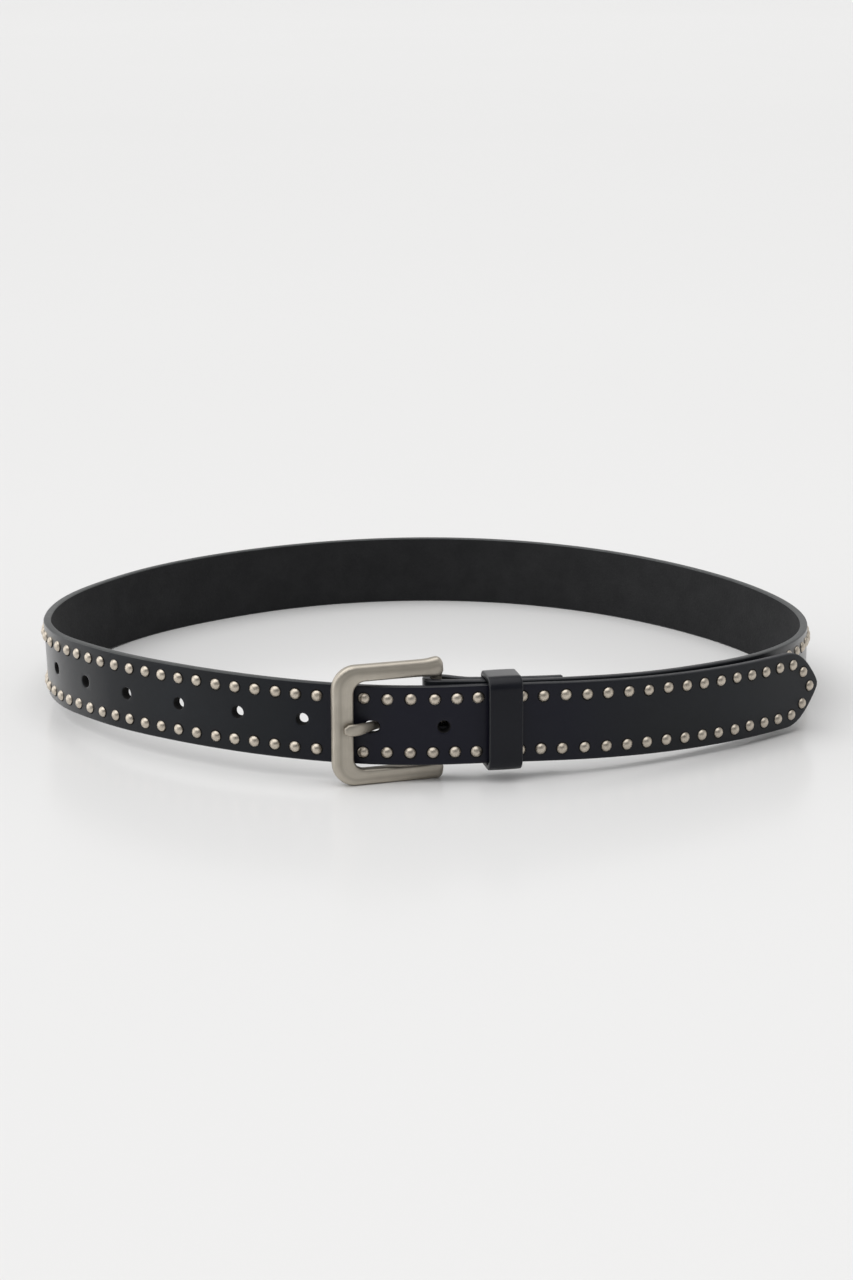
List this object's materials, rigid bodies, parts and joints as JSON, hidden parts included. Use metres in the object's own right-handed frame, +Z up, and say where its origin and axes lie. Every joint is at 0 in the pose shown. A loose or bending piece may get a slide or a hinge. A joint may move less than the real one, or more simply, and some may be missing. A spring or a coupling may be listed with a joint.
{
  "type": "studded belt",
  "caption": "Narrow leather belt with two rows of domed metal studs, a rectangular framed prong buckle, one keeper loop and a pointed end, buckled into a standing loop.",
  "frame": {"origin": "under the middle of the whole belt, on the plane it stands on", "axes": "+Z up, across the strap's width; +X along the loop's longer axis, towards the pointed end; -Y towards the buckle"},
  "size_m": [0.3148, 0.3048, 0.0456],
  "materials": {
    "strap_leather": "smooth semi-matt black leather with a slight navy cast, burnished dark edges and a matt inner face",
    "keeper_leather": "the same smooth semi-matt black leather with painted edges",
    "buckle_metal": "antique nickel, satin, slightly warm, finely brushed and darker in the corners",
    "stud_metal": "antique nickel, satin domes with a dark ring where they meet the leather"
  },
  "bodies": {
    "root": {"strap": "strap_leather", "buckle_frame": "buckle_metal", "buckle_prong": "buckle_metal", "keeper_loop": "keeper_leather", "return_rivet_near_bar": "stud_metal", "return_rivet_near_end": "stud_metal", "studs_pointed_end": "stud_metal", "studs_left_upper": "stud_metal", "studs_left_lower": "stud_metal", "studs_back_upper": "stud_metal", "studs_back_lower": "stud_metal", "studs_right_upper": "stud_metal", "studs_right_lower": "stud_metal"}
  },
  "joints": []
}
